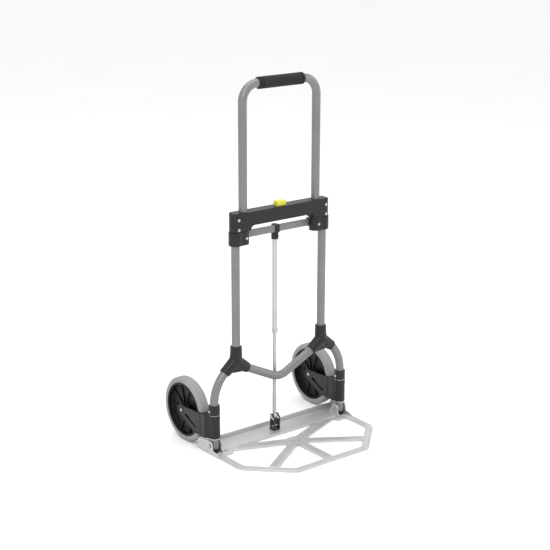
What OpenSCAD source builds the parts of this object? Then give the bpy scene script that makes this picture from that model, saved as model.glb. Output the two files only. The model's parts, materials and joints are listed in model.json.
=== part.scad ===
// Folding hand truck with a sliding handle, a spoked toe plate that folds up
// and two wheels that swing in behind it. Millimetres, +Z up, front towards -Y.
// The origin lies on the floor under the middle of the whole outline.

/* [Tubes] */
// Outer diameter of the handle tube
handle_d = 25.4; // [24:0.2:25.6]
// Outer diameter of the uprights, legs and brace
tube_d = 25.4; // [24:0.2:25.6]
// Wall thickness of every tube
tube_wall = 1.6; // [1.2:0.1:2]

/* [Frame] */
// Half the distance between the two uprights
upright_x = 162; // [161.5:0.1:163]
// Half the distance between the two handle tubes
handle_x = 134.6; // [134:0.1:134.8]
// Half the distance between the two legs
leg_x = 243; // [242.5:0.1:243.2]
// Height of the top face of the upper bar
bar_top = 723; // [715:1:730]
// Height of the top of each corner joint
joint_top = 320; // [318:1:322]

/* [Handle] */
// Height of the centre line of the grip
grip_z = 1088; // [1000:1:1100]
// Centre line radius of the two handle bends
handle_bend = 50; // [40:1:60]
// Outer diameter of the soft grip
grip_d = 33; // [30:0.5:36]
// Length of the soft grip
grip_len = 164; // [120:1:168]

/* [Wheels] */
// Outer diameter of each tyre
wheel_d = 200; // [192:1:201]
// Width of each tyre
tyre_w = 35; // [31:1:35]
// Distance of the axle behind the legs
axle_y = 135; // [135:0.5:137]

/* [Toe plate] */
// Half width of the perimeter bar
plate_x = 259; // [257:0.5:259]
// Distance from the legs to the front edge
plate_front = 263; // [240:1:265]
// Distance from the legs to the rear edge
plate_rear = 64; // [60:1:68]
// Thickness of the bars
plate_t = 6; // [5:0.5:6]
// Width of the perimeter bars
rim_bar_w = 22; // [18:1:24]
// Corner radius at each side of the perimeter
corner_round = 45; // [30:1:60]

/* [Hidden] */
$fn = 48;

// Small gaps: a pressed fit, a fixed fit and a sliding fit
snug = 0.05;
slide = 0.3;
over = 1;

// The legs stand behind the middle of the outline by this much
frame_y = 14;

tube_r = tube_d / 2;
handle_r = handle_d / 2;
wheel_r = wheel_d / 2;

// Upper bar
bar_r = 18;
bar_end_bottom = bar_top - 55;
bar_arch_bottom = bar_top - 41;
arch_x = 104;
arch_r = bar_arch_bottom - bar_end_bottom;
bar_corner = 7;
cavity_x = 92;
cavity_front = -10;
cavity_bottom = bar_top - 35;
cavity_top = bar_top - 6;
cover_t = 3;
cover_x = 105;
cover_margin = 3;
rivet_heights = [bar_top - 19, bar_top - 48];
rivet_r = 3;

// Release button and lock bars
button_w = 32;
button_d = 20;
button_proud = 14;
button_flange = 4.5;
button_travel = 4;
lock_z = bar_top - 25;
lock_size = 8;
lock_peg_x = 18;
lock_peg_r = 2;
lock_gap = 0.3;

// Corner joints, legs and brace
joint_r = 17.5;
socket_r = 16.3;
heart_r = 19.5;
upright_bottom = joint_top - 36;
upright_top = bar_top - 9;
leg_bottom = 7;
leg_bend_z = 155;
leg_bend_r = 120;
leg_lean = 45;
leg_turn = 60;
brace_z = 191;
brace_bend_r = 60;
brace_slope = 26;
brace_arm = 127;

// Sliding brackets, crossbar and telescopic rod
slider_top = bar_end_bottom - 1;
slider_h = 40;
slider_bottom = slider_top - slider_h;
handle_bottom = slider_bottom + 6;
slider_screw_z = slider_bottom + 20;
crossbar_z = slider_bottom + 22;
crossbar_y = 17;
crossbar_h = 20;
crossbar_d = 10;
crossbar_x = handle_x - 5.6;
lug_in = handle_x - 13.6;
rod_y = 23;
rod_outer_r = 8;
rod_bore_r = 6.35;
rod_inner_r = 6;
rod_outer_top = crossbar_z - crossbar_h / 2 - 2.5;
rod_outer_bottom = 322;
rod_inner_top = 379;
clip_bottom = crossbar_z - 33;
clip_waist = crossbar_z - 12;
clip_top = crossbar_z + 12.5;
clip_r = 11;
slider_r = 20;
clip_bolt_z = clip_bottom + 9;

// Toe plate hinge, clevis and open slot of the rod pin
hinge_z = 27;
hinge_r = 4;
pocket_in = 228;
pocket_out = 258;
ear_out = 261;
ear_top = 41;
ear_in = 225;
lip_h = 18;
lip_t = 4;
band_front = -15;
hub_y = -85;
hub_r = 30;
pin_z = hinge_z + rod_y;
pin_r = 3;
slot_r = 5.2;
slot_run = 6.7;
clevis_in = 8.5;
clevis_out = 11.5;
clevis_eye = 8.7;
clevis_bolt_ys = [15.5, 27.5];
clevis_rivet = [15, 21];

// Wheel brackets
sleeve_r = 17;
collar_top = 152;
collar_bottom = 123.7;
collar_bolt_z = 135;
sleeve_top = 122;
sleeve_bottom = 50;
cam_bottom = 43;
fork_shift = 4;
fork_x = -leg_x - fork_shift;
fork_half = 22.5;
arm_t = 4;
block_rear = 32.5;
axle_r = 5;
rim_r = 83;

// ---------- helpers ----------

module mirrored() {
    children();
    mirror([1, 0, 0]) children();
}

// A flat outline given as (y, z) and thickened along X from x0
module side_plate(x0, thickness) {
    translate([x0, 0, 0])
        rotate([90, 0, 90])
            linear_extrude(thickness) children();
}

// A flat outline given as (x, z) and thickened along Y, centred on y0
module front_plate(y0, thickness) {
    translate([0, y0 + thickness / 2, 0])
        rotate([90, 0, 0])
            linear_extrude(thickness) children();
}

module pin_along_x(x0, x1, y, z, r) {
    translate([x0, y, z]) rotate([0, 90, 0]) cylinder(r = r, h = x1 - x0);
}

module pin_along_y(x, y0, y1, z, r) {
    translate([x, y0, z]) rotate([-90, 0, 0]) cylinder(r = r, h = y1 - y0);
}

module block(x0, x1, y0, y1, z0, z1) {
    translate([x0, y0, z0]) cube([x1 - x0, y1 - y0, z1 - z0]);
}

module tube_section(r) {
    difference() {
        circle(r);
        circle(r - tube_wall);
    }
}

module tube(r, h) {
    linear_extrude(h) tube_section(r);
}

// A bend in the XZ plane, from angle a0 to a1 about its centre
module bend(radius, a0, a1) {
    rotate([90, 0, 0])
        rotate([0, 0, a0])
            rotate_extrude(angle = a1 - a0, $fn = 96)
                translate([radius, 0]) children();
}

module bent_tube(radius, r, a0, a1) {
    bend(radius, a0, a1) tube_section(r);
}

// A straight bar between two points of a flat outline
module flat_bar(a, b, w) {
    run = b - a;
    translate(a)
        rotate(atan2(run[1], run[0]))
            translate([0, -w / 2]) square([norm(run), w]);
}

// ---------- uprights, legs and brace ----------

module upright() {
    color("gray") difference() {
        translate([-upright_x, 0, upright_bottom]) tube(tube_r, upright_top - upright_bottom);
        for (z = rivet_heights)
            pin_along_y(-upright_x, -tube_r - over, tube_r + over, z, rivet_r + snug);
    }
}

// Places children on the leg's centre line at its socket, +Z up into the joint
module at_leg_socket() {
    translate([leg_bend_r - leg_x, 0, leg_bend_z])
        rotate([90, 0, 0])
            rotate([0, 0, 180 - leg_lean])
                translate([leg_bend_r, 0, 0]) rotate([90, 0, 0]) children();
}

// The bend of the leg runs on up into the corner joint
module leg() {
    color("gray") mirror([1, 0, 0]) difference() {
        union() {
            translate([leg_x, 0, leg_bottom]) tube(tube_r, leg_bend_z - leg_bottom);
            translate([leg_x - leg_bend_r, 0, leg_bend_z])
                bent_tube(leg_bend_r, tube_r, 0, leg_turn);
        }
        pin_along_x(leg_x - tube_r - over, leg_x + tube_r + over, 0, hinge_z, hinge_r + snug);
        pin_along_x(leg_x - tube_r - over, leg_x + tube_r + over, 0, collar_bolt_z, 2.5 + snug);
    }
}

// Places children at the left end of the brace's bend, +Z up its left arm
module at_brace_arm() {
    translate([0, 0, brace_z + brace_bend_r])
        rotate([90, 0, 0])
            rotate([0, 0, 270 - brace_slope])
                translate([brace_bend_r, 0, 0]) rotate([90, 0, 0]) children();
}

module v_brace() {
    color("gray") {
        translate([0, 0, brace_z + brace_bend_r])
            bent_tube(brace_bend_r, tube_r, 270 - brace_slope, 270 + brace_slope);
        mirrored() at_brace_arm() tube(tube_r, brace_arm);
    }
}

// Moulded three-way joint: neck above, leg socket outside, brace socket inside
module corner_joint() {
    heart = [-upright_x - 2, 0, joint_top - 46];
    color("dimgray") difference() {
        union() {
            hull() {
                translate([-upright_x, 0, joint_top - 12]) cylinder(r = joint_r, h = 12, $fn = 32);
                translate([-upright_x, 0, joint_top - 30]) cylinder(r = joint_r + 0.8, h = 6, $fn = 32);
            }
            hull() {
                translate([-upright_x, 0, joint_top - 30]) cylinder(r = joint_r + 0.8, h = 6, $fn = 32);
                translate(heart) sphere(r = heart_r, $fn = 32);
            }
            hull() {
                translate(heart) sphere(r = heart_r, $fn = 32);
                at_leg_socket() translate([0, 0, 3]) cylinder(r = socket_r, h = 4, $fn = 32);
            }
            hull() {
                translate(heart) sphere(r = heart_r, $fn = 32);
                at_brace_arm() translate([0, 0, brace_arm - 21]) cylinder(r = socket_r, h = 4, $fn = 32);
            }
            hull() {
                translate(heart) sphere(r = heart_r - 3, $fn = 32);
                at_leg_socket() translate([0, 0, 12]) cylinder(r = 13, h = 4, $fn = 32);
                at_brace_arm() translate([0, 0, brace_arm - 14]) cylinder(r = 13, h = 4, $fn = 32);
            }
        }
        translate([-upright_x, 0, upright_bottom]) cylinder(r = tube_r + snug, h = 60);
        translate([leg_bend_r - leg_x, 0, leg_bend_z])
            bend(leg_bend_r, 180 - leg_turn, 180 - leg_lean + 5) circle(tube_r + snug);
        at_brace_arm() cylinder(r = tube_r + snug, h = brace_arm);
    }
}

// ---------- upper bar and its lock ----------

module bar_outline() {
    for (x = [-upright_x, upright_x]) translate([x, 0]) circle(bar_r, $fn = 72);
    square([2 * upright_x, 2 * bar_r], center = true);
}

module bar_profile() {
    end_x = upright_x + bar_r;
    difference() {
        polygon([
            [-end_x, bar_end_bottom], [-end_x, bar_top - bar_corner],
            [-end_x + bar_corner, bar_top], [end_x - bar_corner, bar_top],
            [end_x, bar_top - bar_corner], [end_x, bar_end_bottom]
        ]);
        translate([-arch_x, bar_end_bottom - over]) square([2 * arch_x, arch_r + over]);
        for (x = [-arch_x, arch_x]) translate([x, bar_end_bottom]) circle(arch_r);
    }
}

module cover_screw_places() {
    for (x = [-98, 98], z = [bar_top - 29, bar_top - 12])
        translate([x, bar_r, z]) rotate([90, 0, 0]) children();
}

module upper_bar() {
    color([0.2, 0.2, 0.2]) difference() {
        intersection() {
            translate([0, 0, bar_end_bottom - over])
                linear_extrude(bar_top - bar_end_bottom + 2 * over) bar_outline();
            front_plate(0, 4 * bar_r) bar_profile();
        }
        mirrored() {
            translate([-upright_x, 0, bar_end_bottom - over])
                cylinder(r = tube_r + snug, h = upright_top - bar_end_bottom + over);
            translate([-handle_x, 0, bar_end_bottom - over])
                cylinder(r = handle_r + slide, h = 80);
            for (z = rivet_heights)
                pin_along_y(-upright_x, -bar_r - over, bar_r + over, z, rivet_r + snug);
        }
        block(-cavity_x, cavity_x, cavity_front, bar_r + over, cavity_bottom, cavity_top);
        block(-cover_x - slide, cover_x + slide, bar_r - cover_t, bar_r + over,
              cavity_bottom - cover_margin, cavity_top + cover_margin);
        block(-button_w / 2 - slide, button_w / 2 + slide,
              -button_d / 2 - slide, button_d / 2 + slide, cavity_top - over, bar_top + over);
        block(-handle_x, handle_x, -lock_size / 2 - slide, lock_size / 2 + slide,
              lock_z - lock_size / 2 - slide, lock_z + lock_size / 2 + slide);
        cover_screw_places() translate([0, 0, cover_t]) cylinder(r = 1.5 + snug, h = 9);
    }
}

module lock_cover() {
    color([0.22, 0.22, 0.22]) difference() {
        block(-cover_x, cover_x, bar_r - cover_t + snug, bar_r,
              cavity_bottom - cover_margin + slide, cavity_top + cover_margin - slide);
        cover_screw_places() translate([0, 0, -over]) cylinder(r = 1.7, h = 6);
    }
}

module cover_screws() {
    color("silver") cover_screw_places() {
        translate([0, 0, -1.4]) cylinder(r = 3, h = 1.4);
        translate([0, 0, -snug]) cylinder(r = 1.5, h = 10);
    }
}

module frame_rivets() {
    color("silver") mirrored() for (z = rivet_heights) {
        pin_along_y(-upright_x, -bar_r, bar_r, z, rivet_r);
        pin_along_y(-upright_x, -bar_r - 1.5, -bar_r, z, 4.4);
        pin_along_y(-upright_x, bar_r, bar_r + 1.5, z, 4.4);
    }
}

// The button carries a plate with two slanted slots that draw the lock bars in
module release_button() {
    slot_turn = button_travel + 0.6;
    color("yellow") {
        block(-button_w / 2, button_w / 2, -button_d / 2, button_d / 2,
              cavity_top - slide, bar_top + button_proud);
        block(-button_w / 2 - 4, button_w / 2 + 4, cavity_front + slide, -cavity_front + 0.5,
              cavity_top - slide - button_flange, cavity_top - slide);
        difference() {
            block(-24, 24, cavity_front + slide, cavity_front + 3.3,
                  cavity_bottom + button_travel + 0.5, cavity_top - slide - button_flange);
            mirrored() front_plate(0, 4 * bar_r) {
                translate([lock_peg_x, lock_z]) circle(lock_peg_r + slide);
                translate([lock_peg_x - slot_turn, lock_z + slot_turn]) circle(lock_peg_r + slide);
                flat_bar([lock_peg_x, lock_z],
                         [lock_peg_x - slot_turn, lock_z + slot_turn], 2 * (lock_peg_r + slide));
            }
        }
    }
}

module lock_bar() {
    tip = handle_x - handle_r - lock_gap;
    color("silver") {
        block(-tip, -lock_peg_x + 3, -lock_size / 2, lock_size / 2,
              lock_z - lock_size / 2, lock_z + lock_size / 2);
        pin_along_y(-lock_peg_x, cavity_front + 0.8, -lock_size / 2 + 0.5, lock_z, lock_peg_r);
    }
}

// Helical spring: rings of points swept along the coil
function coil_ring(a, radius, wire, rise, sides) = [
    for (k = [0 : sides - 1])
        let (t = 360 * k / sides, r = radius + wire * cos(t))
            [r * cos(a), r * sin(a), rise * a / 360 + wire * sin(t)]
];

module coil(radius, wire, turns, height, steps, sides) {
    rise = (height - 2 * wire) / turns;
    rings = turns * steps + 1;
    points = [
        for (i = [0 : rings - 1]) each coil_ring(360 * i / steps, radius, wire, rise, sides)
    ];
    walls = [
        for (i = [0 : rings - 2], k = [0 : sides - 1])
            let (n = (k + 1) % sides)
                [i * sides + k, i * sides + n, (i + 1) * sides + n, (i + 1) * sides + k]
    ];
    first = [for (k = [sides - 1 : -1 : 0]) k];
    last = [for (k = [0 : sides - 1]) (rings - 1) * sides + k];
    translate([0, 0, wire]) polyhedron(points, concat([first], walls, [last]), convexity = 8);
}

module button_spring() {
    color("silver") translate([0, 5.2, cavity_bottom + 0.2])
        coil(3.6, 0.6, 5, cavity_top - slide - button_flange - cavity_bottom - 0.4, 16, 6);
}

// ---------- handle ----------

module handle_loop() {
    top_x = handle_x - handle_bend;
    bend_z = grip_z - handle_bend;
    color("gray") difference() {
        union() {
            mirrored() {
                translate([-handle_x, 0, handle_bottom]) tube(handle_r, bend_z - handle_bottom);
                translate([-top_x, 0, bend_z]) bent_tube(handle_bend, handle_r, 90, 180);
            }
            translate([-top_x, 0, grip_z]) rotate([0, 90, 0]) tube(handle_r, 2 * top_x);
        }
        mirrored() pin_along_y(-handle_x, -handle_r - over, 0, slider_screw_z, 2.5 + snug);
    }
}

module handle_grip() {
    end_w = 4;
    color([0.18, 0.18, 0.18]) difference() {
        union() {
            pin_along_x(-grip_len / 2, grip_len / 2, 0, grip_z, grip_d / 2);
            mirrored() pin_along_x(-grip_len / 2, end_w - grip_len / 2, 0, grip_z, grip_d / 2 + 1);
        }
        pin_along_x(-grip_len / 2 - over, grip_len / 2 + over, 0, grip_z, handle_r + snug);
    }
}

module slider_outline() {
    translate([-upright_x, 0]) circle(slider_r, $fn = 72);
    translate([-handle_x, 0]) circle(bar_r, $fn = 72);
    translate([-upright_x, -bar_r]) square([upright_x - handle_x, 2 * bar_r]);
}

module crossbar_space(x0, x1) {
    block(x0, x1, crossbar_y - crossbar_d / 2 - 0.1, crossbar_y + crossbar_d / 2 + 0.1,
          crossbar_z - crossbar_h / 2 - 0.1, crossbar_z + crossbar_h / 2 + 0.1);
}

// Sleeve that runs on the upright, holds the end of the handle tube and has a
// lug behind it for the end of the crossbar
module slider() {
    color([0.2, 0.2, 0.2]) difference() {
        union() {
            translate([0, 0, slider_bottom]) linear_extrude(slider_h) slider_outline();
            block(-handle_x - 8, -lug_in, 8, crossbar_y + 8, crossbar_z - 13, crossbar_z + 13);
        }
        translate([-upright_x, 0, slider_bottom - over])
            cylinder(r = tube_r + slide, h = slider_h + 2 * over);
        translate([-handle_x, 0, handle_bottom]) cylinder(r = handle_r + snug, h = slider_h);
        crossbar_space(-crossbar_x - 0.1, 0);
        pin_along_y(-handle_x, -bar_r - over, 0, slider_screw_z, 2.5 + snug);
    }
}

module slider_screws() {
    color("silver") mirrored() {
        pin_along_y(-handle_x, -bar_r - snug, -handle_r + 4, slider_screw_z, 2.5);
        pin_along_y(-handle_x, -bar_r - 2, -bar_r - snug, slider_screw_z, 4);
    }
}

module crossbar() {
    color([0.54, 0.52, 0.52]) translate([0, crossbar_y, crossbar_z]) difference() {
        block(-crossbar_x, crossbar_x, -crossbar_d / 2, crossbar_d / 2, -crossbar_h / 2, crossbar_h / 2);
        block(-crossbar_x - over, crossbar_x + over, -crossbar_d / 2 + tube_wall,
              crossbar_d / 2 - tube_wall, -crossbar_h / 2 + tube_wall, crossbar_h / 2 - tube_wall);
    }
}

// Saddle round the middle of the crossbar with a socket for the rod below it
module rod_clip() {
    color([0.18, 0.18, 0.18]) difference() {
        union() {
            block(-7, 7, crossbar_y - 8.5, rod_y + 8, clip_waist, clip_top);
            translate([0, rod_y, clip_bottom]) cylinder(r = clip_r, h = clip_waist + over - clip_bottom);
        }
        crossbar_space(-20, 20);
        translate([0, rod_y, clip_bottom - over])
            cylinder(r = rod_outer_r + snug, h = rod_outer_top + 0.1 + over - clip_bottom);
        pin_along_y(0, -10, rod_y, clip_bolt_z, 2.5 + snug);
    }
}

module clip_bolt() {
    color("silver") {
        pin_along_y(0, rod_y - clip_r - 1, rod_y - rod_outer_r - 0.1, clip_bolt_z, 2.5);
        pin_along_y(0, rod_y - clip_r - 2.4, rod_y - clip_r - snug, clip_bolt_z, 4.5);
    }
}

module rod_outer() {
    color([0.85, 0.85, 0.87]) difference() {
        translate([0, rod_y, rod_outer_bottom])
            cylinder(r = rod_outer_r, h = rod_outer_top - rod_outer_bottom);
        translate([0, rod_y, rod_outer_bottom - over])
            cylinder(r = rod_bore_r, h = rod_outer_top - rod_outer_bottom + 2 * over);
    }
}

module rod_collar() {
    color("silver") difference() {
        translate([0, rod_y, rod_outer_bottom]) cylinder(r = rod_outer_r + 1.6, h = 12);
        translate([0, rod_y, rod_outer_bottom - over]) cylinder(r = rod_outer_r + snug, h = 14);
    }
}

module rod_inner() {
    color([0.8, 0.8, 0.82]) difference() {
        union() {
            translate([0, rod_y, pin_z]) cylinder(r = rod_inner_r, h = rod_inner_top - pin_z);
            pin_along_x(-rod_inner_r, rod_inner_r, rod_y, pin_z, 8);
        }
        pin_along_x(-10, 10, rod_y, pin_z, pin_r + snug);
    }
}

module rod_pin() {
    color("silver") {
        pin_along_x(-clevis_out - 2, clevis_out + 2, rod_y, pin_z, pin_r);
        mirrored() pin_along_x(-clevis_out - 2.6, -clevis_out - 0.4, rod_y, pin_z, 6.5);
    }
}

// ---------- toe plate ----------

// Points of an arc that rounds the corner b of the path a, b, c
function arc_points(a, b, c, r) =
    let (
        u = (a - b) / norm(a - b),
        v = (c - b) / norm(c - b),
        half = acos(u * v) / 2,
        centre = b + (u + v) / norm(u + v) * r / sin(half),
        first = b + u * r / tan(half) - centre,
        turn = (180 - 2 * half) * sign(cross(v, u))
    )
    [
        for (k = [0 : 6]) let (t = turn * k / 6)
            centre + [first[0] * cos(t) - first[1] * sin(t), first[0] * sin(t) + first[1] * cos(t)]
    ];

// Points of the perimeter, moved inwards by d
function rim_points(d) =
    let (
        corner_x = 135,
        corner_y = 145,
        lean = atan2(plate_x - corner_x, plate_front - corner_y),
        side_y = -corner_y + d * tan(lean / 2),
        front_x = corner_x - d * tan((90 - lean) / 2),
        top = [plate_x - d, band_front],
        side = [plate_x - d, side_y],
        front = [front_x, -plate_front + d],
        flip = [[-1, 0], [0, 1]],
        side_r = corner_round - d,
        front_r = max(3, 22 - d)
    )
    concat(
        [top * flip],
        arc_points(top * flip, side * flip, front * flip, side_r),
        arc_points(side * flip, front * flip, front, front_r),
        arc_points(front * flip, front, side, front_r),
        arc_points(front, side, top, side_r),
        [top]
    );

module plate_outline() {
    hub = [0, hub_y];
    difference() {
        polygon(rim_points(0));
        polygon(rim_points(rim_bar_w));
    }
    translate(hub) circle(hub_r);
    for (s = [-1, 1]) {
        flat_bar(hub, [s * 205, -5], 34);
        flat_bar(hub, [s * 188, -206], 28);
        translate([s * 232 - 29, -42]) square([58, 20]);
    }
    flat_bar(hub, [0, -plate_front + 6], 28);
    translate([-ear_out, band_front]) square([2 * ear_out, plate_rear - band_front]);
}

// Upright ear beside the leg, as a (y, z) outline
module outer_ear_outline() {
    polygon([
        [-46, 0], [-46, plate_t], [-30, 12], [-14, 15], [-11, 33], [-7, 39.5],
        [-3, ear_top], [46, ear_top], [58, 34], [plate_rear, lip_h], [plate_rear, 0]
    ]);
}

module inner_ear_outline() {
    translate([0, hinge_z]) circle(14);
    polygon([
        [-24, 0], [-24, plate_t], [-13, 14], [-11, hinge_z + 7], [12, hinge_z + 7],
        [30, plate_t], [30, 0]
    ]);
}

module toe_plate() {
    color([0.87, 0.87, 0.86]) difference() {
        union() {
            linear_extrude(plate_t) plate_outline();
            block(-ear_out, ear_out, plate_rear - lip_t, plate_rear, 0, lip_h);
            mirrored() {
                side_plate(-ear_out, ear_out - pocket_out) outer_ear_outline();
                side_plate(-pocket_in, pocket_in - ear_in) inner_ear_outline();
            }
        }
        mirrored() {
            block(-pocket_out, -pocket_in, -26, 26, -over, plate_t + over);
            pin_along_x(-ear_out - over, -ear_in + over, 0, hinge_z, hinge_r + 0.08);
        }
        for (y = clevis_bolt_ys) translate([0, y, -over]) cylinder(r = 2.5 + snug, h = 10);
    }
}

// Round-ended bar running the length of the slot. The slot leaves the rod pin
// free, so this pivot of the linkage stays open
module along_slot(r) {
    length = slot_run * sqrt(2);
    translate([rod_y - slot_run, pin_z - slot_run]) rotate(45) union() {
        circle(r);
        translate([0, -r]) square([length, 2 * r]);
        translate([length, 0]) circle(r);
    }
}

module clevis_ear_outline() {
    difference() {
        union() {
            along_slot(clevis_eye);
            translate([rod_y - slot_run - clevis_eye + 2, plate_t + 1])
                square([21, pin_z - slot_run - plate_t + 2]);
        }
        along_slot(slot_r);
    }
}

module clevis_bracket() {
    color([0.25, 0.25, 0.26]) difference() {
        union() {
            block(-clevis_out, clevis_out, rod_y - 13.5, rod_y + 10.5, plate_t, plate_t + 3);
            mirrored() side_plate(-clevis_out, clevis_out - clevis_in) clevis_ear_outline();
        }
        for (y = clevis_bolt_ys) translate([0, y, 0]) cylinder(r = 2.5 + snug, h = 12);
        pin_along_x(-20, 20, clevis_rivet[0], clevis_rivet[1], 2 + snug);
    }
}

module clevis_bolts() {
    color("silver") {
        for (y = clevis_bolt_ys) translate([0, y, 0]) {
            translate([0, 0, over]) cylinder(r = 2.5, h = plate_t + 2);
            translate([0, 0, plate_t + 3]) cylinder(r = 4.2, h = 3, $fn = 6);
        }
        pin_along_x(-clevis_out, clevis_out, clevis_rivet[0], clevis_rivet[1], 2);
        mirrored() pin_along_x(-clevis_out - 1.2, -clevis_out, clevis_rivet[0], clevis_rivet[1], 3.6);
    }
}

module hinge_bolts() {
    color("silver") mirrored() {
        pin_along_x(-ear_out - 0.4, -ear_in + 1, 0, hinge_z, hinge_r);
        translate([-ear_out - 5, 0, hinge_z]) rotate([0, 90, 0]) cylinder(r = 7, h = 4.6, $fn = 6);
        translate([-ear_in + 0.4, 0, hinge_z]) rotate([0, 90, 0]) cylinder(r = 7, h = 5, $fn = 6);
    }
}

module leg_end_caps() {
    color([0.15, 0.15, 0.15]) mirrored() difference() {
        translate([-leg_x, 0, leg_bottom - 2]) cylinder(r = tube_r + 1.1, h = 11);
        translate([-leg_x, 0, leg_bottom]) cylinder(r = tube_r + snug, h = 12);
    }
}

module leg_collars() {
    color([0.2, 0.2, 0.2]) mirrored() difference() {
        translate([-leg_x, 0, collar_bottom]) cylinder(r = sleeve_r, h = collar_top - collar_bottom);
        translate([-leg_x, 0, collar_bottom - over]) cylinder(r = tube_r + snug, h = 40);
        pin_along_x(-leg_x - 20, -leg_x + 20, 0, collar_bolt_z, 2.5 + snug);
        for (x = [-leg_x - 20, -leg_x + sleeve_r - 0.5])
            pin_along_x(x, x + 3.5, 0, collar_bolt_z, 4 + snug);
    }
}

module collar_bolts() {
    color("silver") mirrored() {
        pin_along_x(-leg_x - sleeve_r, -leg_x + sleeve_r, 0, collar_bolt_z, 2.5);
        pin_along_x(-leg_x - sleeve_r - 1.5, -leg_x - sleeve_r + 0.5, 0, collar_bolt_z, 4);
        pin_along_x(-leg_x + sleeve_r - 0.5, -leg_x + sleeve_r + 1.5, 0, collar_bolt_z, 4);
    }
}

module collar_washers() {
    color("silver") mirrored() difference() {
        translate([-leg_x, 0, sleeve_top + 0.3]) cylinder(r = sleeve_r + 0.6, h = 1.3);
        translate([-leg_x, 0, sleeve_top - over]) cylinder(r = tube_r + 0.1, h = 6);
    }
}

// ---------- wheels and their folding brackets ----------

module bracket_outline() {
    translate([-leg_x, 0]) circle(sleeve_r);
    polygon([
        [-leg_x - sleeve_r, 0], [fork_x - fork_half, 14], [fork_x - fork_half, block_rear],
        [fork_x + fork_half, block_rear], [fork_x + fork_half, 12], [-leg_x + sleeve_r, 0]
    ]);
}

module arm_outline() {
    difference() {
        union() {
            polygon([
                [block_rear - 8, sleeve_bottom], [block_rear - 8, sleeve_top],
                [axle_y - 4, wheel_r + 16.5], [axle_y + 8, wheel_r - 14],
                [72, sleeve_bottom]
            ]);
            translate([axle_y, wheel_r]) circle(17);
        }
        polygon([[60, 65], [57, 72], [112, 97], [118, 90]]);
    }
}

module wheel_bracket() {
    color([0.2, 0.2, 0.2]) difference() {
        union() {
            translate([0, 0, sleeve_bottom]) linear_extrude(sleeve_top - sleeve_bottom) bracket_outline();
            side_plate(fork_x - fork_half, arm_t) arm_outline();
            side_plate(fork_x + fork_half - arm_t, arm_t) arm_outline();
        }
        translate([-leg_x, 0, sleeve_bottom - over]) cylinder(r = tube_r + slide, h = 90);
        pin_along_x(fork_x - 30, fork_x + 30, axle_y, wheel_r, axle_r + snug);
    }
}

// Metal ring under the bracket with a raised cam half
module fold_cam() {
    color("silver") difference() {
        translate([-leg_x, 0, cam_bottom]) cylinder(r = 16.5, h = sleeve_bottom - cam_bottom);
        translate([-leg_x, 0, cam_bottom - over]) cylinder(r = tube_r + slide, h = 12);
        block(-leg_x - 20, -leg_x + 20, -20, 0, cam_bottom - over, cam_bottom + 2.5);
    }
}

module axle() {
    color("silver") {
        pin_along_x(fork_x - fork_half - 1, fork_x + fork_half + 1, axle_y, wheel_r, axle_r);
        pin_along_x(fork_x - fork_half - 3, fork_x - fork_half - snug, axle_y, wheel_r, 8.5);
        pin_along_x(fork_x + fork_half + snug, fork_x + fork_half + 2, axle_y, wheel_r, 8.5);
    }
}

module wheel_at() {
    translate([fork_x, axle_y, wheel_r]) rotate([0, 90, 0]) children();
}

module axle_washers() {
    color("silver") wheel_at() mirror_z() difference() {
        translate([0, 0, 17.15]) cylinder(r = 10, h = 1.2);
        translate([0, 0, 16]) cylinder(r = axle_r + 0.06, h = 4);
    }
}

module mirror_z() {
    children();
    mirror([0, 0, 1]) children();
}

// Rim: hub, thin web, ribs and a deep outer band
module wheel_rim() {
    ribs = 10;
    color([0.1, 0.1, 0.1]) wheel_at() difference() {
        union() {
            cylinder(r = 18, h = 34, center = true);
            cylinder(r = rim_r - 6, h = 6, center = true);
            difference() {
                cylinder(r = rim_r, h = 33, center = true, $fn = 96);
                cylinder(r = rim_r - 7, h = 36, center = true, $fn = 96);
            }
            for (k = [0 : ribs - 1])
                rotate(360 * k / ribs) translate([10, -2, -12]) cube([rim_r - 15, 4, 24]);
        }
        cylinder(r = 9 + snug, h = 40, center = true);
    }
}

module tyre_section() {
    shoulder = 10;
    difference() {
        union() {
            translate([rim_r, -tyre_w / 2 + shoulder])
                square([wheel_r - rim_r, tyre_w - 2 * shoulder]);
            translate([rim_r, -tyre_w / 2]) square([wheel_r - rim_r - shoulder, tyre_w]);
            for (s = [-1, 1])
                translate([wheel_r - shoulder, s * (tyre_w / 2 - shoulder)]) circle(shoulder, $fn = 48);
        }
        translate([0, -tyre_w]) square([rim_r + snug, 2 * tyre_w]);
    }
}

module tyre() {
    color([0.72, 0.72, 0.72]) wheel_at() rotate_extrude($fn = 120) tyre_section();
}

module wheel_bushes() {
    color([0.55, 0.5, 0.4]) wheel_at() mirror_z() difference() {
        translate([0, 0, 5]) cylinder(r = 9, h = 12);
        translate([0, 0, 4]) cylinder(r = axle_r + 0.08, h = 14);
    }
}

// ---------- assembly ----------

// Every piece is drawn about the legs and then set behind the origin
module placed() {
    translate([0, frame_y, 0]) children();
}

module right_hand() {
    placed() mirror([1, 0, 0]) children();
}

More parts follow.
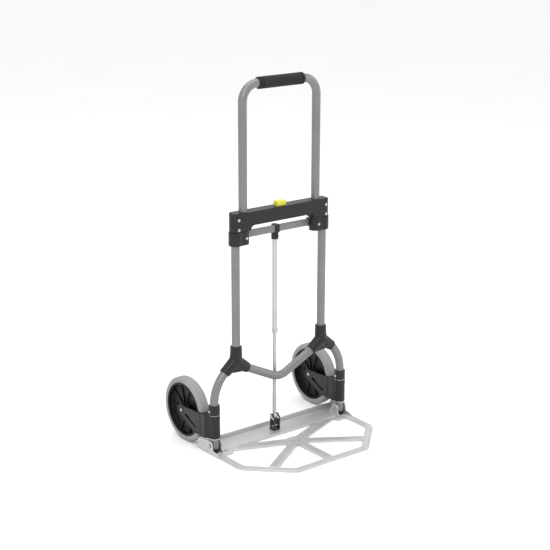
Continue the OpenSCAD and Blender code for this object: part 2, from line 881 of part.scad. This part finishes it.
placed() upright();  // upright_left
right_hand() upright();  // upright_right
placed() leg();  // leg_left
right_hand() leg();  // leg_right
placed() v_brace();
placed() corner_joint();  // corner_joint_left
right_hand() corner_joint();  // corner_joint_right
placed() upper_bar();
placed() lock_cover();
placed() cover_screws();
placed() frame_rivets();
placed() leg_end_caps();
placed() leg_collars();
placed() collar_bolts();
placed() collar_washers();
placed() hinge_bolts();
placed() release_button();
placed() button_spring();
placed() lock_bar();  // lock_bar_left
right_hand() lock_bar();  // lock_bar_right
placed() handle_loop();
placed() handle_grip();
placed() slider();  // slider_left
right_hand() slider();  // slider_right
placed() slider_screws();
placed() crossbar();
placed() rod_clip();
placed() clip_bolt();
placed() rod_outer();
placed() rod_collar();
placed() rod_inner();
placed() rod_pin();
placed() toe_plate();
placed() clevis_bracket();
placed() clevis_bolts();
placed() wheel_bracket();  // wheel_bracket_left
right_hand() wheel_bracket();  // wheel_bracket_right
placed() fold_cam();  // fold_cam_left
right_hand() fold_cam();  // fold_cam_right
placed() axle();  // axle_left
right_hand() axle();  // axle_right
placed() axle_washers();  // axle_washers_left
right_hand() axle_washers();  // axle_washers_right
placed() wheel_rim();  // wheel_rim_left
right_hand() wheel_rim();  // wheel_rim_right
placed() tyre();  // tyre_left
right_hand() tyre();  // tyre_right
placed() wheel_bushes();  // wheel_bushes_left
right_hand() wheel_bushes();  // wheel_bushes_right
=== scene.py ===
import bmesh
import bpy
import json
import math
from mathutils import Matrix, Vector


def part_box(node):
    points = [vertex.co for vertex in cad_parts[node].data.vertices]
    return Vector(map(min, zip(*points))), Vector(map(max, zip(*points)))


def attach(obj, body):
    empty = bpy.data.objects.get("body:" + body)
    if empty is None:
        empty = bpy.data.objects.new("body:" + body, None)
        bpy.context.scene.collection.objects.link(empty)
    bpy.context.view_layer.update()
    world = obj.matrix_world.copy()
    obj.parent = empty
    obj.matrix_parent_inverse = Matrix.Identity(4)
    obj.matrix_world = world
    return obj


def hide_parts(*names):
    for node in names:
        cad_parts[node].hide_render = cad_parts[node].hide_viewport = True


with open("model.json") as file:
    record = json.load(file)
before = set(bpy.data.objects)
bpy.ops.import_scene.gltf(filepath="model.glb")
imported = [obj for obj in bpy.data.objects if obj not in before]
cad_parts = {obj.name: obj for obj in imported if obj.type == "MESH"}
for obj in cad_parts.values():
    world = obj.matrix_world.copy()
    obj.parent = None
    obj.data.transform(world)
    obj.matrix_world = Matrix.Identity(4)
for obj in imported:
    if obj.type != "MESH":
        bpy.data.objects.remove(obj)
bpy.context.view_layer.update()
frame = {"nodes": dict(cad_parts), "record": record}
nodes = frame["nodes"]
scene = bpy.context.scene

# ---------------------------------------------------------------- view

# The camera stands in front of the truck's left side, slightly above it
CAMERA_AIM = Vector((-0.0169, 0.014, 0.5113))
CAMERA_AZIMUTH = 37.94
CAMERA_ELEVATION = 16.67
CAMERA_ROLL = 0.14
CAMERA_DISTANCE = 4.034
CAMERA_LENS = 88.96


def add_camera():
    azimuth, elevation = math.radians(CAMERA_AZIMUTH), math.radians(CAMERA_ELEVATION)
    forward = Vector((
        math.sin(azimuth) * math.cos(elevation),
        math.cos(azimuth) * math.cos(elevation),
        -math.sin(elevation),
    ))
    data = bpy.data.cameras.new("camera")
    data.lens = CAMERA_LENS
    data.sensor_width = 36
    data.clip_end = 50
    camera = bpy.data.objects.new("camera", data)
    camera.location = CAMERA_AIM - forward * CAMERA_DISTANCE
    turn = forward.to_track_quat("-Z", "Y").to_matrix().to_4x4()
    camera.rotation_euler = (turn @ Matrix.Rotation(math.radians(CAMERA_ROLL), 4, "Z")).to_euler()
    scene.collection.objects.link(camera)
    scene.camera = camera


def add_light(name, place, aim, size, power):
    data = bpy.data.lights.new(name, "AREA")
    data.shape = "RECTANGLE"
    data.size, data.size_y = size
    data.energy = power
    lamp = bpy.data.objects.new(name, data)
    lamp.location = place
    lamp.rotation_euler = (Vector(aim) - Vector(place)).to_track_quat("-Z", "Y").to_euler()
    scene.collection.objects.link(lamp)


def add_studio():
    world = bpy.data.worlds.new("studio")
    world.use_nodes = True
    sky = world.node_tree.nodes["Background"]
    sky.inputs["Color"].default_value = (1, 1, 1, 1)
    sky.inputs["Strength"].default_value = 1.0
    scene.world = world
    add_light("key", (-2.6, -2.4, 3.2), (0, 0, 0.5), (2.4, 2.4), 60)
    add_light("top", (0.2, 0.4, 3.6), (0, 0, 0.3), (3.0, 3.0), 55)
    add_light("fill", (3.0, -1.6, 1.8), (0, 0, 0.5), (2.0, 2.6), 25)
    scene.view_settings.view_transform = "Standard"
    scene.view_settings.look = "None"

    mesh = bpy.data.meshes.new("floor")
    half = 14
    mesh.from_pydata(
        [(-half, -half, 0), (half, -half, 0), (half, half, 0), (-half, half, 0)],
        [], [(0, 1, 2, 3)],
    )
    floor = bpy.data.objects.new("floor", mesh)
    scene.collection.objects.link(floor)
    mesh.materials.append(floor_paint())


# ---------------------------------------------------------------- materials


def new_tree(name):
    material = bpy.data.materials.new(name)
    material.use_nodes = True
    tree = material.node_tree
    return material, tree, tree.nodes["Principled BSDF"]


def link(tree, a, b):
    tree.links.new(a, b)


def noise(tree, scale, detail=3.0, stretch=(1, 1, 1)):
    """Noise over the object's own metres, drawn out along an axis by stretch."""
    place = tree.nodes.new("ShaderNodeTexCoord")
    mapping = tree.nodes.new("ShaderNodeMapping")
    mapping.inputs["Scale"].default_value = stretch
    pattern = tree.nodes.new("ShaderNodeTexNoise")
    pattern.inputs["Scale"].default_value = scale
    pattern.inputs["Detail"].default_value = detail
    link(tree, place.outputs["Object"], mapping.inputs["Vector"])
    link(tree, mapping.outputs["Vector"], pattern.inputs["Vector"])
    return pattern.outputs["Fac"]


def spread(tree, value, low, high):
    """Maps 0..1 onto low..high."""
    node = tree.nodes.new("ShaderNodeMapRange")
    node.inputs["From Min"].default_value = 0.3
    node.inputs["From Max"].default_value = 0.7
    node.inputs["To Min"].default_value = low
    node.inputs["To Max"].default_value = high
    link(tree, value, node.inputs["Value"])
    return node.outputs["Result"]


def between(tree, value, first, second):
    """A colour ramp from first to second."""
    ramp = tree.nodes.new("ShaderNodeValToRGB")
    ramp.color_ramp.elements[0].position = 0.3
    ramp.color_ramp.elements[1].position = 0.7
    ramp.color_ramp.elements[0].color = (*first, 1)
    ramp.color_ramp.elements[1].color = (*second, 1)
    link(tree, value, ramp.inputs["Fac"])
    return ramp.outputs["Color"]


def worn_edges(tree, colour, worn, amount):
    """Paler or darker colour where edges stick out."""
    shape = tree.nodes.new("ShaderNodeNewGeometry")
    edge = tree.nodes.new("ShaderNodeMapRange")
    edge.inputs["From Min"].default_value = 0.52
    edge.inputs["From Max"].default_value = 0.60
    edge.inputs["To Max"].default_value = amount
    link(tree, shape.outputs["Pointiness"], edge.inputs["Value"])
    mix = tree.nodes.new("ShaderNodeMix")
    mix.data_type = "RGBA"
    link(tree, edge.outputs["Result"], mix.inputs["Factor"])
    link(tree, colour, mix.inputs["A"])
    mix.inputs["B"].default_value = (*worn, 1)
    return mix.outputs["Result"]


def bump(tree, height, distance, strength):
    node = tree.nodes.new("ShaderNodeBump")
    node.inputs["Distance"].default_value = distance
    node.inputs["Strength"].default_value = strength
    link(tree, height, node.inputs["Height"])
    return node.outputs["Normal"]


def shade(value, factor):
    return tuple(min(1, c * factor) for c in value)


def finish_paint(name, colour, rough, metal=0.0, vary=0.06, grain=900, grain_depth=0.00004,
                 stretch=(1, 1, 1), worn=None, wear=0.25, specular=0.5):
    """The common surface: mottled colour, uneven gloss, fine grain and worn edges."""
    material, tree, surface = new_tree(name)
    patches = noise(tree, 14, 4)
    tone = between(tree, patches, shade(colour, 1 - vary), shade(colour, 1 + vary))
    tone = worn_edges(tree, tone, worn or shade(colour, 1.6), wear)
    link(tree, tone, surface.inputs["Base Color"])
    smears = noise(tree, 45, 5, stretch)
    link(tree, spread(tree, smears, rough * 0.88, rough * 1.14), surface.inputs["Roughness"])
    fine = noise(tree, grain, 2, stretch)
    link(tree, bump(tree, fine, grain_depth, 0.5), surface.inputs["Normal"])
    surface.inputs["Metallic"].default_value = metal
    surface.inputs["Specular IOR Level"].default_value = specular
    return material


def floor_paint():
    material, tree, surface = new_tree("floor_paint")
    tone = between(tree, noise(tree, 1.2, 2), (0.93, 0.93, 0.93), (0.95, 0.95, 0.95))
    link(tree, tone, surface.inputs["Base Color"])
    link(tree, spread(tree, noise(tree, 6, 3), 0.8, 0.9), surface.inputs["Roughness"])
    surface.inputs["Specular IOR Level"].default_value = 0.1
    return material


# Linear colours of the material slots
PAINTS = {
    "frame_tube": finish_paint("frame_tube", (0.185, 0.183, 0.186), 0.40, 0.45,
                               stretch=(1, 1, 0.15), worn=(0.30, 0.30, 0.30)),
    "handle_tube": finish_paint("handle_tube", (0.195, 0.193, 0.196), 0.38, 0.5,
                                stretch=(1, 1, 0.15), worn=(0.30, 0.30, 0.30)),
    "black_plastic": finish_paint("black_plastic", (0.0085, 0.0082, 0.0085), 0.38, grain=1400,
                                  grain_depth=0.00008, worn=(0.04, 0.04, 0.04), specular=0.33),
    "fastener_steel": finish_paint("fastener_steel", (0.44, 0.44, 0.455), 0.3, 1.0, vary=0.08),
    "button_plastic": finish_paint("button_plastic", (0.60, 0.59, 0.035), 0.4, vary=0.04,
                                   worn=(0.75, 0.73, 0.2), specular=0.4),
    "grip_rubber": finish_paint("grip_rubber", (0.012, 0.012, 0.0125), 0.8, grain=2200,
                                grain_depth=0.00018, worn=(0.03, 0.03, 0.03), specular=0.3),
    "crossbar_paint": finish_paint("crossbar_paint", (0.185, 0.172, 0.175), 0.5, 0.1,
                                   worn=(0.3, 0.29, 0.29)),
    "rod_chrome": finish_paint("rod_chrome", (0.47, 0.47, 0.475), 0.42, 0.45, vary=0.05,
                               stretch=(1, 1, 0.1)),
    "cast_aluminium": finish_paint("cast_aluminium", (0.46, 0.455, 0.46), 0.44, 0.55, vary=0.07,
                                   grain=1100, grain_depth=0.00006, worn=(0.66, 0.66, 0.67)),
    "cast_tread": finish_paint("cast_tread", (0.2, 0.198, 0.2), 0.5, 0.5, vary=0.1,
                               grain=1100, worn=(0.6, 0.6, 0.6)),
    "clevis_steel": finish_paint("clevis_steel", (0.02, 0.02, 0.022), 0.36, 0.5,
                                 worn=(0.12, 0.12, 0.12)),
    "cam_metal": finish_paint("cam_metal", (0.36, 0.36, 0.37), 0.4, 0.8),
    "rim_plastic": finish_paint("rim_plastic", (0.003, 0.003, 0.0033), 0.4, grain=1600,
                                grain_depth=0.00006, worn=(0.012, 0.012, 0.012), specular=0.16),
    "tyre_rubber": finish_paint("tyre_rubber", (0.265, 0.262, 0.264), 0.72, grain=1900,
                                grain_depth=0.00012, worn=(0.36, 0.36, 0.36), specular=0.35),
    "bush_plastic": finish_paint("bush_plastic", (0.05, 0.05, 0.05), 0.5),
}

NODE_SLOTS = {row["node"]: row["material_slot"] for row in frame["record"]["subparts"]}


# ---------------------------------------------------------------- CAD nodes


def soften(node, width, angle=32, segments=2):
    """Rounds a CAD node's edges with modifiers, so its own mesh stays as packed."""
    weld = node.modifiers.new("weld", "WELD")
    weld.merge_threshold = 0.00002
    bevel = node.modifiers.new("bevel", "BEVEL")
    bevel.width = width
    bevel.segments = segments
    bevel.limit_method = "ANGLE"
    bevel.angle_limit = math.radians(angle)
    bevel.use_clamp_overlap = True
    bevel.harden_normals = True
    node.modifiers.new("normals", "WEIGHTED_NORMAL").keep_sharp = True


def smooth_casting(node, voxel=0.0013, rounds=14):
    """Melts a faceted moulding's hulls into one smooth skin."""
    weld = node.modifiers.new("weld", "WELD")
    weld.merge_threshold = 0.00002
    skin = node.modifiers.new("skin", "REMESH")
    skin.mode = "VOXEL"
    skin.voxel_size = voxel
    skin.use_smooth_shade = True
    melt = node.modifiers.new("melt", "SMOOTH")
    melt.factor = 0.5
    melt.iterations = rounds


# ---------------------------------------------------------------- made pieces


def made(name, body, slot, fill, width=0.0004, angle=35, paint=None):
    """A new piece: its mesh from fill(bm), bevelled edges, the paint named by its slot (or by
    paint) and its body.
    """
    mesh = bpy.data.meshes.new(name)
    bm = bmesh.new()
    fill(bm)
    bmesh.ops.remove_doubles(bm, verts=bm.verts, dist=1e-6)
    bmesh.ops.recalc_face_normals(bm, faces=bm.faces)
    bm.to_mesh(mesh)
    bm.free()
    mesh.materials.append(PAINTS[paint or slot])
    mesh.shade_smooth()
    piece = bpy.data.objects.new(name, mesh)
    scene.collection.objects.link(piece)
    if width:
        soften(piece, width, angle)
    else:
        mesh.set_sharp_from_angle(angle=math.radians(angle))
    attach(piece, body)
    return piece


def lathe(bm, profile, centre, turns=96, axis="X"):
    """Revolves a closed profile of (radius, along) points round an axis."""
    rings = []
    for k in range(turns):
        c, s = math.cos(2 * math.pi * k / turns), math.sin(2 * math.pi * k / turns)
        ring = []
        for radius, along in profile:
            place = {
                "X": (along, radius * c, radius * s),
                "Z": (radius * c, radius * s, along),
            }[axis]
            ring.append(bm.verts.new(centre + Vector(place)))
        rings.append(ring)
    for k, first in enumerate(rings):
        second = rings[(k + 1) % turns]
        for i in range(len(profile)):
            j = (i + 1) % len(profile)
            bm.faces.new((first[i], first[j], second[j], second[i]))


def arc(centre, radius, start, end, steps=6):
    """Points of an arc in degrees."""
    turn = [math.radians(start + (end - start) * k / steps) for k in range(steps + 1)]
    return [(centre[0] + radius * math.cos(t), centre[1] + radius * math.sin(t)) for t in turn]


def prism(bm, outline, lift):
    """Extrudes a flat outline; lift(point, side) places a point at side 0 or 1."""
    sides = [[bm.verts.new(lift(point, side)) for point in outline] for side in (0, 1)]
    bm.faces.new(sides[0])
    bm.faces.new(sides[1])
    for i in range(len(outline)):
        j = (i + 1) % len(outline)
        bm.faces.new((sides[0][i], sides[0][j], sides[1][j], sides[1][i]))


def inset(outline, distance):
    """Moves each edge of a convex anticlockwise outline inwards."""
    count, result = len(outline), []
    for i in range(count):
        before, here, after = (Vector(outline[k % count]) for k in (i - 1, i, i + 1))
        into, out = (here - before).normalized(), (after - here).normalized()
        one, two = Vector((-into.y, into.x)), Vector((-out.y, out.x))
        bisector = (one + two).normalized()
        result.append(tuple(here + bisector * distance / max(0.3, bisector.dot(one))))
    return result


def raised_frame(bm, outer, band, place):
    """A low band along the inside of an outline; place(point, level) with level 0 or 1."""
    inner = inset(outer, band)
    rings = [[bm.verts.new(place(p, level)) for p in ring]
             for ring, level in ((outer, 0), (inset(outer, band * 0.2), 1),
                                 (inset(outer, band * 0.8), 1), (inner, 0))]
    count = len(outer)
    for ring, following in zip(rings, rings[1:] + rings[:1]):
        for i in range(count):
            j = (i + 1) % count
            bm.faces.new((ring[i], ring[j], following[j], following[i]))


def middle(name):
    """Centre and half size of a CAD node."""
    low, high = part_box(name)
    return (low + high) / 2, (high - low) / 2


MM = 0.001
SIDES = ("left", "right")
PLATE_TOP = 6
LEG_Y = middle("leg_left")[0].y


def mm(points):
    """The points of an outline in millimetres, in metres."""
    return [tuple(value * MM for value in point) for point in points]


def make_tyre(side):
    """Tyre with rounded shoulders and a groove round its tread."""
    centre, half = middle(f"tyre_{side}")
    rim = middle(f"wheel_rim_{side}")[1].z + 0.06 * MM
    wide, outer = half.x, half.z
    shoulder = 10 * MM
    right = [(rim, wide - 2.2 * MM), (rim + 1.2 * MM, wide - 1.2 * MM)]
    right += [(outer - 12.5 * MM, wide - 0.35 * MM)]
    right += arc((outer - shoulder, wide - shoulder), shoulder, 88, 8, 9)
    right += [(outer - 0.05 * MM, 6.4 * MM), (outer - 0.6 * MM, 6 * MM),
              (outer - 0.6 * MM, 5.4 * MM), (outer, 5 * MM)]
    profile = right + [(radius, -along) for radius, along in reversed(right)]
    piece = made(f"tyre_skin_{side}", f"wheel_{side}", "tyre_rubber",
                 lambda bm: lathe(bm, profile, centre, 144), width=0, angle=38)
    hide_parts(f"tyre_{side}")


RIM_RIBS = 10


def rim_profile(rim, hub):
    """Barrel, web and hub in one closed (radius, along) section."""
    band = hub - 0.5
    right = [(9.1, hub), (15.6, hub), (16.8, hub - 1), (17.3, 12), (18.5, 6.5), (21.5, 3.6),
             (24, 3.2), (40, 3), (41, 4.4), (43.5, 4.4), (44.5, 3), (62, 3), (rim - 12.5, 3.6),
             (rim - 9.2, 6), (rim - 7.6, 10), (rim - 7, 14), (rim - 6, band - 0.3),
             (rim - 4, band), (rim - 3.2, band - 0.8), (rim - 2.4, band), (rim - 0.5, band),
             (rim, band - 0.5)]
    return mm(right + [(radius, -along) for radius, along in reversed(right)])


def make_rim(side):
    """Moulded rim with ten ribs."""
    centre, half = middle(f"wheel_rim_{side}")
    rim, hub = half.z / MM, half.x / MM
    profile = rim_profile(rim, hub)
    top = [(14, 12), (22, 9), (34, 7), (50, 6), (rim - 18, 6.6), (rim - 11, 9), (rim - 6.8, 12)]
    section = mm(top + [(radius, -along) for radius, along in reversed(top)])

    def fill(bm):
        lathe(bm, profile, centre, 120)
        for k in range(RIM_RIBS):
            turn = Matrix.Rotation(math.radians(360 / RIM_RIBS * k), 3, "X")

            def lift(point, face):
                radius, along = point
                thick = (1.5 - 0.4 * radius / half.z) * MM
                return centre + turn @ Vector((along, radius, thick if face else -thick))

            prism(bm, section, lift)

    piece = made(f"rim_casting_{side}", f"wheel_{side}", "rim_plastic", fill, 0.0005, 30)
    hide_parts(f"wheel_rim_{side}")


def make_axle(side):
    """Bolt with domed heads, and a moulded boss round each head."""
    centre, half = middle(f"axle_{side}")
    reach = half.x - 0.5 * MM
    seat = reach - 2.6 * MM
    dome = arc((0, 0), 1, 0, 90, 6)
    head = [(5.6 * MM * c, seat + 2.6 * MM * s) for c, s in dome if c > 0.02] + [(0.3 * MM, reach)]
    right = [(5 * MM, seat - 0.2 * MM)] + head
    shank = right + [(radius, -along) for radius, along in reversed(right)]
    bolt = made(f"axle_bolt_{side}", f"fork_{side}", "fastener_steel",
                lambda bm: lathe(bm, shank, centre, 40), width=0)
    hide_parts(f"axle_{side}")
    face = seat - 0.05 * MM
    ring = [(5.7, -0.1), (5.7, 1.6), (6.4, 2.2), (9.2, 2.0), (10.6, 1.2), (11, -0.1)]

    def fill(bm):
        for sign in (-1, 1):
            profile = [(radius * MM, sign * (face + along * MM - 0.4 * MM))
                       for radius, along in ring]
            lathe(bm, profile, centre, 48)

    made(f"axle_boss_{side}", f"fork_{side}", "black_plastic", fill, 0.0002)


# Outline of a bracket arm as (y, z) from the leg, in millimetres
ARM = [(36, 51.5), (72, 51.5), (141, 84), (149, 92),
       (151, 101), (147, 111), (133, 115.4), (36, 120.4)]


def make_bracket_trim(side):
    """Raised edges on both arms, with ribs round the sleeve block."""
    low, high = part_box(f"wheel_bracket_{side}")
    leg_x = middle(f"fold_cam_{side}")[0].x

    def fill(bm):
        for face, out in ((low.x, -1), (high.x, 1)):
            def place(point, level):
                y, z = point
                return Vector((face + out * (level * 1.5 - 0.3) * MM, LEG_Y + y * MM, z * MM))
            raised_frame(bm, ARM, 3.4, place)
        for z in (56, 112):
            ring = [(17.0, z - 1.6), (17.9, z - 0.8), (17.9, z + 0.8),
                    (17.0, z + 1.6), (16.5, z)]
            lathe(bm, mm(ring), Vector((leg_x, LEG_Y, 0)), 64, "Z")

    made(f"bracket_trim_{side}", f"fork_{side}", "black_plastic", fill, 0.0003)


def make_grip():
    """Soft grip with rounded ends and three grooves near each end."""
    centre, half = middle("handle_grip")
    radius, end, bore = half.z, half.x, middle("handle_loop")[1].y + 0.05 * MM
    right = [(bore, end)] + arc((radius - 4 * MM, end - 4 * MM), 4 * MM, 90, 0, 6)
    for k in range(3):
        at = end - (9 + 3.2 * k) * MM
        right += [(radius, at), (radius - 0.7 * MM, at - 0.6 * MM),
                  (radius - 0.7 * MM, at - 1.0 * MM), (radius, at - 1.6 * MM)]
    profile = right + [(r, -along) for r, along in reversed(right)]
    piece = made("grip_sleeve", "handle", "grip_rubber",
                 lambda bm: lathe(bm, profile, centre, 72), width=0, angle=40)
    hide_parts("handle_grip")


# Spokes of the toe plate as (start, end, width) from the legs, in millimetres
HUB = (0, -85)
SPOKES = [(HUB, (176, -16), 30), (HUB, (-176, -16), 30), (HUB, (176, -194), 24),
          (HUB, (-176, -194), 24), (HUB, (0, -238), 24)]


# Lozenge grid of the tread, in millimetres
TREAD_ROW, TREAD_COLUMN = 5.4, 7
TREAD_APART = 5
TREAD_MARGIN = 3
LOZENGE_LONG, LOZENGE_WIDE, LOZENGE_HIGH = 2.6, 1.8, 1.1
LOZENGE_PEAK = 0.35


def tread_places():
    """Points of a lozenge grid on the hub and the spokes."""
    taken, places = set(), []
    for start, end, width in SPOKES:
        a, b = Vector(start), Vector(end)
        along = (b - a).normalized()
        across = Vector((-along.y, along.x))
        rows, columns = int((b - a).length / TREAD_ROW), int(width / TREAD_COLUMN)
        for row in range(rows):
            for column in range(-columns, columns + 1):
                shift = (column + (0.5 if row % 2 else 0)) * TREAD_COLUMN
                if abs(shift) > width / 2 - TREAD_MARGIN:
                    continue
                spot = a + along * (row * TREAD_ROW) + across * shift
                key = (round(spot.x / TREAD_APART), round(spot.y / TREAD_APART))
                if key not in taken:
                    taken.add(key)
                    places.append((spot, along, across))
    return places


def make_tread():
    """The raised tread on the hub and the spokes of the plate."""
    level = PLATE_TOP * MM

    def fill(bm):
        for spot, along, across in tread_places():
            steps = (along * LOZENGE_LONG, across * LOZENGE_WIDE,
                     -along * LOZENGE_LONG, -across * LOZENGE_WIDE)
            base, peak = [], []
            for step in steps:
                low, high = spot + step, spot + step * LOZENGE_PEAK
                base.append(bm.verts.new((low.x * MM, LEG_Y + low.y * MM, level - 0.05 * MM)))
                peak.append(bm.verts.new((high.x * MM, LEG_Y + high.y * MM,
                                          level + LOZENGE_HIGH * MM)))
            bm.faces.new(peak)
            for i in range(4):
                j = (i + 1) % 4
                bm.faces.new((base[i], base[j], peak[j], peak[i]))

    made("plate_tread", "plate", "cast_aluminium", fill, width=0, angle=20, paint="cast_tread")


# Section of a ridge as (across, up), in shares of its half width and height
RIDGE_SECTION = ((-1, -0.1), (-0.6, 0.75), (0, 1), (0.6, 0.75), (1, -0.1))


def ridge(bm, path, half=1.3, height=1.0):
    """A low rounded ridge on top of the plate along a path in millimetres."""
    rows = []
    for i, point in enumerate(path):
        before = Vector(path[max(i - 1, 0)])
        after = Vector(path[min(i + 1, len(path) - 1)])
        along = (after - before).normalized()
        across = Vector((-along.y, along.x))
        row = []
        for offset, lift in RIDGE_SECTION:
            spot = Vector(point) + across * offset * half
            level = (PLATE_TOP + lift * height) * MM
            row.append(bm.verts.new((spot.x * MM, LEG_Y + spot.y * MM, level)))
        rows.append(row)
    for first, second in zip(rows, rows[1:]):
        for k in range(len(RIDGE_SECTION) - 1):
            bm.faces.new((first[k], first[k + 1], second[k + 1], second[k]))


def rounded(before, corner, after, radius, steps=8):
    """Points of an arc that rounds the corner of a path."""
    u = (Vector(before) - Vector(corner)).normalized()
    v = (Vector(after) - Vector(corner)).normalized()
    half = math.acos(u.dot(v)) / 2
    centre = Vector(corner) + (u + v).normalized() * radius / math.sin(half)
    first = Vector(corner) + u * radius / math.tan(half) - centre
    turn = (math.pi - 2 * half) * (1 if v.x * u.y - v.y * u.x > 0 else -1)
    return [tuple(centre + Matrix.Rotation(turn * k / steps, 2) @ first) for k in range(steps + 1)]


# Perimeter of the plate from the legs, in millimetres
PLATE_X = 259
PLATE_FRONT = -263
BAND_FRONT = -17
CORNER_X, CORNER_Y = 135, -145
SIDE_ROUND, FRONT_ROUND = 45, 22


def flip(point):
    """The mirror image of a point on the other side of the truck."""
    return (-point[0], point[1])


def rim_path(d):
    """The perimeter of the plate moved inwards by d."""
    lean = math.atan2(PLATE_X - CORNER_X, CORNER_Y - PLATE_FRONT)
    top = (PLATE_X - d, BAND_FRONT)
    side = (PLATE_X - d, CORNER_Y + d * math.tan(lean / 2))
    front = (CORNER_X - d * math.tan((math.pi / 2 - lean) / 2), PLATE_FRONT + d)
    side_r, front_r = SIDE_ROUND - d, max(3, FRONT_ROUND - d)
    return ([flip(top)] + rounded(flip(top), flip(side), flip(front), side_r)
            + rounded(flip(side), flip(front), front, front_r)
            + rounded(flip(front), front, side, front_r)
            + rounded(front, side, top, side_r) + [top])


# Straight ridges of the rear band as (start, end, half width, height), in millimetres
BAND_RIDGES = (
    ((-226, -12.4), (226, -12.4), 1.5, 1.0),
    ((-222, 10), (-20, 10), 2.2, 0.7),
    ((222, 10), (20, 10), 2.2, 0.7),
    ((-256, 57), (256, 57), 1.5, 1.0),
)


def make_ridges():
    """Ridges along both edges of the perimeter and along the rear band."""
    def fill(bm):
        for distance in (2.6, 19.4):
            ridge(bm, rim_path(distance))
        for start, end, half, height in BAND_RIDGES:
            ridge(bm, [start, end], half, height)

    made("plate_ridges", "plate", "cast_aluminium", fill, width=0, angle=60)


WIDE_BEVELS = {"upper_bar": 0.0018, "slider_left": 0.0016, "slider_right": 0.0016,
               "release_button": 0.0014, "toe_plate": 0.0009, "rod_clip": 0.001,
               "wheel_bracket_left": 0.001, "wheel_bracket_right": 0.001,
               "frame_rivets": 0.0009, "slider_screws": 0.0009, "collar_bolts": 0.0008,
               "leg_collars": 0.0009, "hinge_bolts": 0.0008, "rod_collar": 0.0008}


def main():
    add_camera()
    add_studio()
    for name, node in nodes.items():
        node.data.materials.clear()
        node.data.materials.append(PAINTS[NODE_SLOTS[name]])
        if name.startswith("corner_joint"):
            smooth_casting(node)
        else:
            soften(node, WIDE_BEVELS.get(name, 0.0004))
    for side in SIDES:
        make_tyre(side)
        make_rim(side)
        make_axle(side)
        make_bracket_trim(side)
    make_grip()
    make_tread()
    make_ridges()


main()
